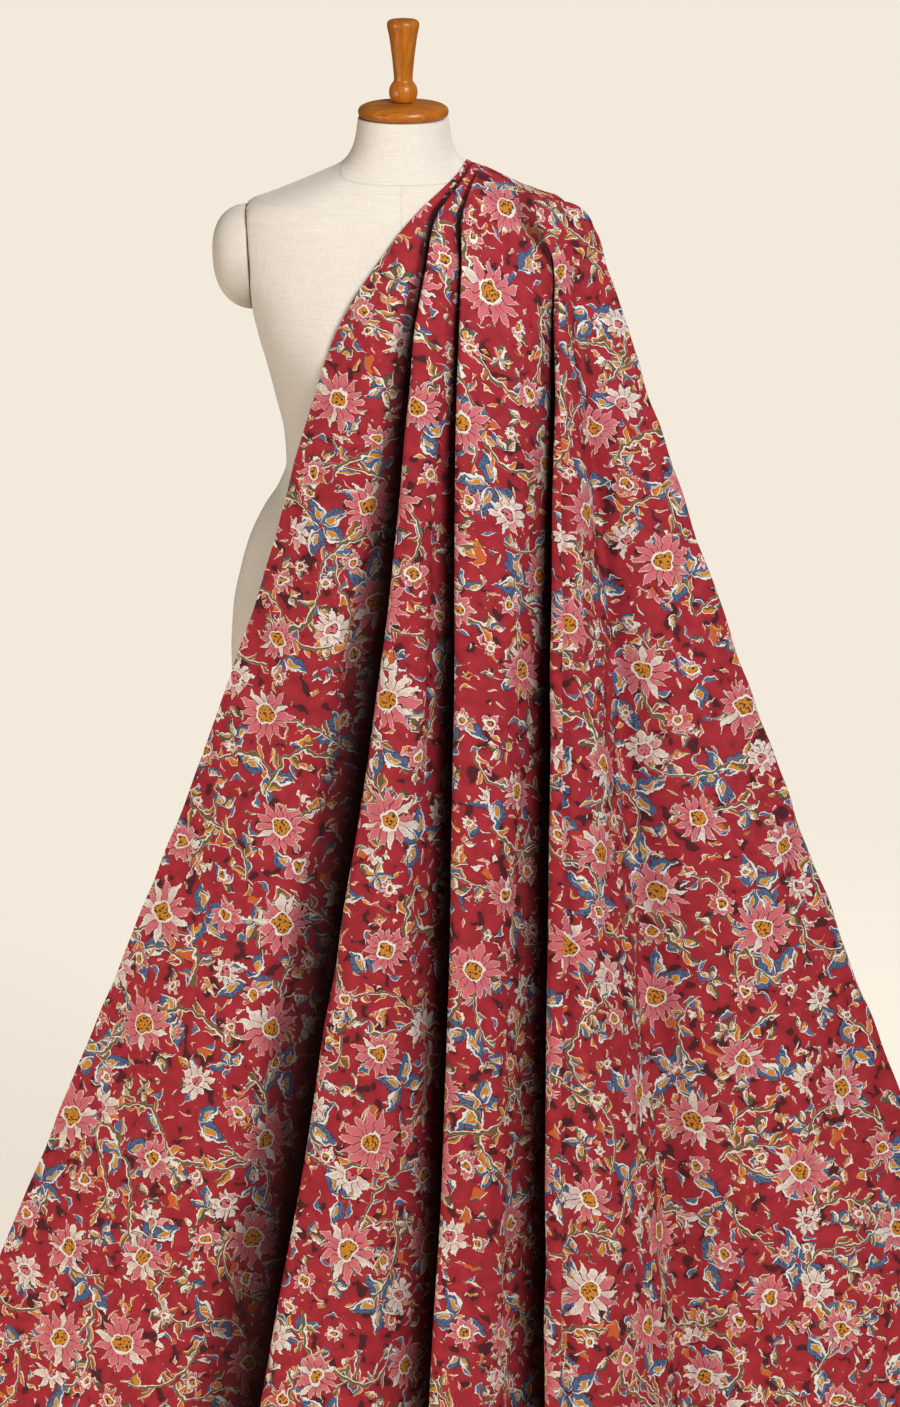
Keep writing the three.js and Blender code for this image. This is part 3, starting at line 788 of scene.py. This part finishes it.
class Printed(Finish):
    """The printed cloth: motifs are laid on its flat length in metres, one kind after another."""

    def cells(self, flat, kind):
        """The way to here from the middle of the motif in this cell of a turned grid, and three lots for it."""
        every, stray, shift = kind["every"], kind["stray"], kind["shift"]
        settings = {1: (shift, shift * 0.7, 0), 2: (0, 0, math.radians(kind["turn"])), 3: (1 / every,) * 3}
        grid = self.node("ShaderNodeMapping", {"vector_type": "POINT"}, {0: flat, **settings})
        number = self.vector("FLOOR", grid)
        lots = self.node("ShaderNodeTexWhiteNoise", {"noise_dimensions": "2D"}, {"Vector": number}, out="Color")
        middle = self.vector("MULTIPLY_ADD", lots, (stray, stray, 0), number)
        away = self.vector("SUBTRACT", grid, middle)
        back = (stray / 2 - 0.5) * every
        return self.vector("MULTIPLY_ADD", away, (every, every, 0), (back, back, 0)), lots

    def nearest(self, flat, kinds):
        """Of the motifs that reach here, the last kind's: the way from its middle, its lots and its make."""
        chosen = []
        for kind in kinds:
            away, lots = self.cells(flat, kind)
            far = self.node("ShaderNodeVectorMath", {"operation": "LENGTH"}, {0: away}, out="Value")
            sizes = (kind["radius"], kind.get("petals", LEAVES_ROUND), kind.get("width", 0), 1)
            make = [away, lots, sizes, kind["body"], kind["second"], kind.get("heart", OCHRE)]
            if chosen:
                here = far.maths("LESS_THAN", far, kind["radius"] * 1.04)
                make = [self.blend(here, old, new) for old, new in zip(chosen, make)]
            chosen = make
        return chosen[0].parts(), chosen[1].parts(), chosen[2].parts(), chosen[3:]

    def petals_of(self, x, y, lots, count):
        """Place in a motif of so many petals: distance, place across the petal from -1 to 1, the petal's lots."""
        far = (x * x + y * y) ** 0.5
        turn = y.maths("ARCTAN2", y, x) * (0.5 / math.pi) + lots[0]
        turn = turn.maths("FRACT", turn) * count
        number = turn.maths("FLOOR", turn)
        across = (turn - number).plus_times(-1.0, 2.0)
        seed = number.plus_times(lots[2] * 91, 1.0)
        chance = self.node("ShaderNodeTexWhiteNoise", {"noise_dimensions": "1D"}, {"W": seed}, out="Color")
        return far, across, chance.parts()

    def flower(self, under, motif, rough):
        """A flower of pointed petals with pencilled veins, a ring of small white petals and a speckled heart."""
        (x, y, _), lots, (radius, count, _), (body, second, heart) = motif
        radius = lots[1].plus_times(0.62, 0.38) * radius
        far, across, chance = self.petals_of(x, y, lots, count)
        off = abs(across)
        reach = (1 - off * 0.4) * chance[0].plus_times(0.82, 0.26) * radius
        share = far / reach
        outer = far - reach + rough * 0.007
        arc = far * math.pi / count
        colour = self.blend(chance[1].maths("LESS_THAN", chance[1], lots[2] * 0.3), body, second)
        shaded = self.blend(0.5, colour, DEEP_PINK)
        pale = self.blend(0.65, colour, CREAM)
        colour = self.blend(share.plus_times(rough * 1.6 - 0.5, 1.4), shaded, colour)
        vein = off.maths("PINGPONG", off + 0.12, 0.3) * arc
        colour = self.blend(vein.below(FLOWER_PEN["vein"], EDGE) * share.below(0.8, 0.2), colour, shaded)
        colour = self.blend((rough * 0.004 - outer).below(FLOWER_PEN["rim"], EDGE), colour, pale)
        colour = self.blend(((1 - off) * arc).below(FLOWER_PEN["between"], EDGE), colour, INK)
        result = self.blend(outer.below(FLOWER_PEN["outline"], EDGE), under, INK)
        result = self.blend(outer.below(0.0, EDGE), result, colour)
        inner = far - radius * HEART_SHARE
        scallop = abs(off - 0.5) * 0.0026 + inner
        result = self.blend(scallop.below(FLOWER_PEN["ring"], EDGE), result, CREAM)
        result = self.blend(inner.below(FLOWER_PEN["heart"], EDGE), result, INK)
        heart = self.blend(rough.below(-0.08, 0.05), heart, INK)
        return self.blend(inner.below(0.0, EDGE), result, heart)

    def leaf(self, under, motif, rough):
        """A spray of leaves from one point: white outline, a heart of another colour and dark strokes."""
        (x, y, _), lots, (length, count, width), (body, second, core) = motif
        far, across, chance = self.petals_of(x, y, lots, count)
        angle = across * (math.pi / LEAVES_ROUND)
        along = far * angle.maths("COSINE", angle)
        beside = far * angle.maths("SINE", angle) + chance[1].plus_times(-0.5, 1.0) * width * 0.3
        share = along / (chance[0].plus_times(0.5, 0.5) * length) - 0.08
        half = share * (1 - share) * (1.5 - share) * width * 4.2
        missing = chance[0].below(0.4, 0.01)
        outer = abs(beside) - half + rough * 0.003 + missing
        colour = self.blend(chance[1].below(0.5, 0.02), body, second)
        stroke = along.maths("PINGPONG", along - abs(beside), 0.0016) + rough * 0.004
        colour = self.blend(stroke.below(LEAF_PEN["stroke"], EDGE), colour, NAVY)
        inner = outer + beside * 0.45 + width * 0.85
        colour = self.blend(inner.below(LEAF_PEN["core"], EDGE), colour, CREAM)
        colour = self.blend(inner.below(0.0, EDGE), colour, core)
        colour = self.blend((beside * 0.4 - outer).below(LEAF_PEN["rim"], EDGE), colour, CREAM)
        result = self.blend(outer.below(LEAF_PEN["outline"], EDGE), under, INK)
        return self.blend(outer.below(0.0, EDGE), result, colour)

    def mark(self, under, motif, rough):
        """A short brushed mark, bent at random, with a pale rim on one side."""
        (x, y, _), lots, (length, _, _), (body, second, _) = motif
        turn = lots[2] * 6.28
        cosine, sine = turn.maths("COSINE", turn), turn.maths("SINE", turn)
        along, beside = x * cosine + y * sine, y * cosine - x * sine
        beside = beside + along * along * (lots[1] * 60)
        size = lots[1].plus_times(0.45, 0.55) * length
        round_it = abs(along) * 0.3 + abs(beside) + rough * 0.0022 - size * 0.25
        there = lots[0].below(0.8, 0.01)
        colour = self.blend(lots[1].below(0.5, 0.01), body, second)
        result = self.blend(round_it.below(0.0, EDGE) * there, under, CREAM)
        return self.blend((round_it + beside * 0.35).below(-0.0008, EDGE) * there, result, colour)

    def stem(self, under, flat, kind, rough):
        """A bent stem in each cell, a quarter of a ring that often runs on into the next, with small side leaves."""
        every, large = kind["every"], kind["large"]
        pitch = math.pi / 4 * every / kind["leaves"]
        away, lots = self.cells(flat, kind)
        x, y, _ = away.parts()
        chance = lots.parts()
        x = x * (chance[0].below(0.5, 0.001) * 2 - 1) + every / 2
        y = y * (chance[1].below(0.5, 0.001) * 2 - 1) + every / 2
        off = (x * x + y * y) ** 0.5 - every / 2
        turn = y.maths("ARCTAN2", y, x) * (2 / math.pi * kind["leaves"])
        number = turn.maths("FLOOR", turn)
        side = number.maths("PINGPONG", number, 1.0) * 2 - 1
        out = off * side - large
        across = (turn - number - 0.5) * pitch - off * side * 0.7
        leaf = abs(across) - (1 - out * out * (1 / large**2)) * (large * 0.52) + rough * 0.0016
        there = chance[2].below(0.9, 0.001)
        colour = self.blend(chance[2].below(0.45, 0.001), kind["body"], kind["second"])
        colour = self.blend(across.below(-STEM_PEN["rib"], EDGE), colour, kind["heart"])
        result = self.blend(leaf.below(STEM_PEN["leaf"], EDGE) * there, under, CREAM)
        result = self.blend(leaf.below(0.0, EDGE) * there, result, colour)
        rim = abs(off + 0.0006 + rough * 0.001)
        result = self.blend(rim.below(STEM_PEN["rim"], EDGE) * there, result, CREAM)
        return self.blend(abs(off).below(STEM_PEN["stem"], EDGE) * there, result, OLIVE)


def print_finish(name):
    """The print on its crimson ground, with painted shade darkening it deep in the valleys. The reverse is the same
    print, faded.
    """
    cloth = Printed(name, Roughness=0.8, Specular_IOR_Level=0.2)
    uv = cloth.node("ShaderNodeUVMap", {"uv_map": "flat"}, {})
    wobble = cloth.noise(uv, (70, 70), detail=1.0, out=1)
    flat = cloth.vector("MULTIPLY_ADD", wobble, (WANDER, WANDER, 0), uv)
    rough = cloth.noise(uv, (300, 300), detail=1.0) - 0.5
    bend = cloth.noise(uv, (9, 9), detail=0.0, out=1)
    bends = cloth.vector("MULTIPLY_ADD", bend, (STEM_BEND, STEM_BEND, 0), flat)
    mottle = cloth.noise(flat, (50, 50), detail=1.0)
    colour = cloth.blend(mottle.below(0.5, 0.4), GROUND, DEEP_GROUND)
    colour = cloth.blend(mottle.below(0.34, 0.03), colour, INK)
    colour = cloth.mark(colour, cloth.nearest(flat, MARKS), rough)
    colour = cloth.leaf(colour, cloth.nearest(flat, LEAVES), rough)
    for kind in STEMS:
        colour = cloth.stem(colour, bends, kind, rough)
    colour = cloth.flower(colour, cloth.nearest(flat, FLOWERS), rough)
    fading = cloth.node("ShaderNodeAttribute", {"attribute_name": "reverse"}, {}, out="Fac")
    colour = cloth.blend(fading * 0.45, colour, FADED)
    threads = cloth.noise(uv, (1500, 60), detail=0.0) + cloth.noise(uv, (60, 1500), detail=0.0)
    colour = cloth.blend((threads - 0.7) * 0.2, colour, THREAD_SHADE)
    # Painted shade: deep in the valleys the colour is painted almost black
    painted_shade = cloth.node("ShaderNodeAttribute", {"attribute_name": "painted_shade"}, {}, out="Fac")
    cloth.feed(Base_Color=cloth.blend(painted_shade, colour, PAINTED_VALLEY_SHADE))
    cloth.raise_by(threads, WEAVE_HIGH)
    return cloth


def thin_sheet(grid, thick):
    """The points and faces of a closed sheet on a grid: its front, its back and a rim all round."""
    rows, columns = grid.shape[:2]
    lift = outward(grid) * thick / 2
    front = faces_of(rows, columns, False)[:, ::-1]
    behind = front[:, ::-1] + rows * columns
    index = np.arange(rows * columns).reshape(rows, columns)
    rim = np.concatenate([index[0], index[1:, -1], index[-1, -2::-1], index[-2:0:-1, 0]])
    ahead = np.roll(rim, -1)
    edge = np.stack([rim, ahead, ahead + rows * columns, rim + rows * columns], axis=1)
    points = np.concatenate([(grid + lift).reshape(-1, 3), (grid - lift).reshape(-1, 3)])
    return points, np.concatenate([front, behind, edge])


points, cloth_faces = thin_sheet(cloth_points, CLOTH_THICK)
printed = print_finish("printed_cloth")
cloth = make_piece("draped_cloth", points, cloth_faces, [printed], "cloth")
corners = cloth_faces.ravel()
flat_metres = np.tile(flat_fine.reshape(-1, 2) * MM, (2, 1))
cloth.data.uv_layers.new(name="flat").data.foreach_set("uv", flat_metres[corners].ravel())
low, high = flat_metres.min(axis=0), flat_metres.max(axis=0)

# For baking, the front lies on the left of the square, the back on the right and the rim in a strip at the bottom
BAKED_SIDE = (0.498, 0.97)
BAKED_ABOVE = (0, 0.03)
BAKED_BACK = 0.502
BAKED_RIM = (0.004, 0.018)
snug = (flat_metres - low) / (high - low) * BAKED_SIDE + BAKED_ABOVE
snug[len(snug) // 2 :, 0] += BAKED_BACK
snug = snug[cloth_faces]
rim_count = 2 * (CLOTH_ROWS + CLOTH_COLUMNS) - 4
rim_start = np.arange(rim_count) / rim_count
rim_stop = rim_start + 1 / rim_count
snug[-rim_count:, :, 0] = np.stack([rim_start, rim_stop, rim_stop, rim_start], axis=1)
snug[-rim_count:, :, 1] = np.repeat(BAKED_RIM, 2)
cloth.data.uv_layers.new(name="OFBake").data.foreach_set("uv", snug.ravel())

# The front carries painted shade in the valleys, the back is faded
painted_shade = finer(fine_rows @ coarse_rows, fine_columns, dark[..., None]).clip(0, 1).ravel()
valley_shade_layer = cloth.data.attributes.new("painted_shade", "FLOAT", "POINT")
valley_shade_layer.data.foreach_set("value", np.concatenate([painted_shade, np.zeros_like(painted_shade)]))
reverse = cloth.data.attributes.new("reverse", "FLOAT", "POINT")
reverse.data.foreach_set("value", np.repeat([0.0, 1.0], len(points) // 2))


# A pale studio: a paper floor that fades into the room, a soft light high on the front right, a weaker warm one
# on the left and one high behind.
CREAM_PAPER = paint(243, 234, 220)
FLOOR_PAPER = paint(192, 184, 172)
FLOOR_RADII = [0.3, 1.2, 2.4, 4.5]
FLOOR_STEPS = 96
FLOOR_FADES = (1.7, 1.8)
paper = Finish(
    "paper", Base_Color=FLOOR_PAPER, Roughness=1.0, Specular_IOR_Level=0.0,
    Emission_Color=CREAM_PAPER, Emission_Strength=0.6,
)
away = paper.vector("MULTIPLY", paper.place(), (1, 1, 0))
far = paper.node("ShaderNodeVectorMath", {"operation": "LENGTH"}, {0: away}, out="Value")
paper.feed(Alpha=far.below(*FLOOR_FADES))

floor_turn = np.arange(FLOOR_STEPS) * 2 * np.pi / FLOOR_STEPS
floor_radii = np.array(FLOOR_RADII)[:, None]
rings = np.stack([floor_radii * np.cos(floor_turn), floor_radii * np.sin(floor_turn)], axis=-1).reshape(-1, 2)
floor_points = [(x, y, 0.0) for x, y in rings] + [(0.0, 0.0, 0.0)]
floor_faces = faces_of(len(FLOOR_RADII), FLOOR_STEPS, True).tolist()
floor_faces += [[i, (i + 1) % FLOOR_STEPS, len(rings)] for i in range(FLOOR_STEPS)]
floor_mesh = bpy.data.meshes.new("paper_floor")
floor_mesh.from_pydata(floor_points, [], floor_faces)
floor_mesh.materials.append(paper.material)
floor = bpy.data.objects.new("paper_floor", floor_mesh)
scene.collection.objects.link(floor)


def soft_light(name, place, aim, size, power, colour=(1, 1, 1), gloss=True):
    """A square soft light that the camera doesn't see, turned to its aim."""
    data = bpy.data.lights.new(name, "AREA")
    data.shape = "RECTANGLE"
    data.size = data.size_y = size
    data.energy = power
    data.color = colour
    made = bpy.data.objects.new(name, data)
    made.location = place
    way = [b - a for a, b in zip(place, aim)]
    made.rotation_euler = (math.atan2(math.hypot(way[0], way[1]), -way[2]), 0, math.atan2(-way[0], way[1]))
    made.visible_camera = False
    made.visible_glossy = gloss
    scene.collection.objects.link(made)


soft_light("key", (1.42, -2.55, 3.2), (0.1, 0, 1.25), 1.3, 115)
soft_light("left", (-3.4, -2.3, 1.3), (0, 0, 1.0), 1.6, 73, (1, 0.9, 0.78))
soft_light("behind", (1.6, 3.4, 3.2), (0, 0, 1.0), 2.0, 120, gloss=False)

# What is seen of the room is paper, and it lights the object only a little
ROOM_LIGHT = 0.1
world = bpy.data.worlds.new("studio")
world.use_nodes = True
nodes, links = world.node_tree.nodes, world.node_tree.links
room = nodes["Background"]
room.inputs["Color"].default_value = CREAM_PAPER
room.inputs["Strength"].default_value = ROOM_LIGHT
seen = nodes.new("ShaderNodeBackground")
seen.inputs["Color"].default_value = CREAM_PAPER
either = nodes.new("ShaderNodeMixShader")
links.new(nodes.new("ShaderNodeLightPath").outputs["Is Camera Ray"], either.inputs[0])
links.new(room.outputs[0], either.inputs[1])
links.new(seen.outputs[0], either.inputs[2])
links.new(either.outputs[0], nodes["World Output"].inputs["Surface"])
scene.world = world
scene.view_settings.view_transform = "Standard"
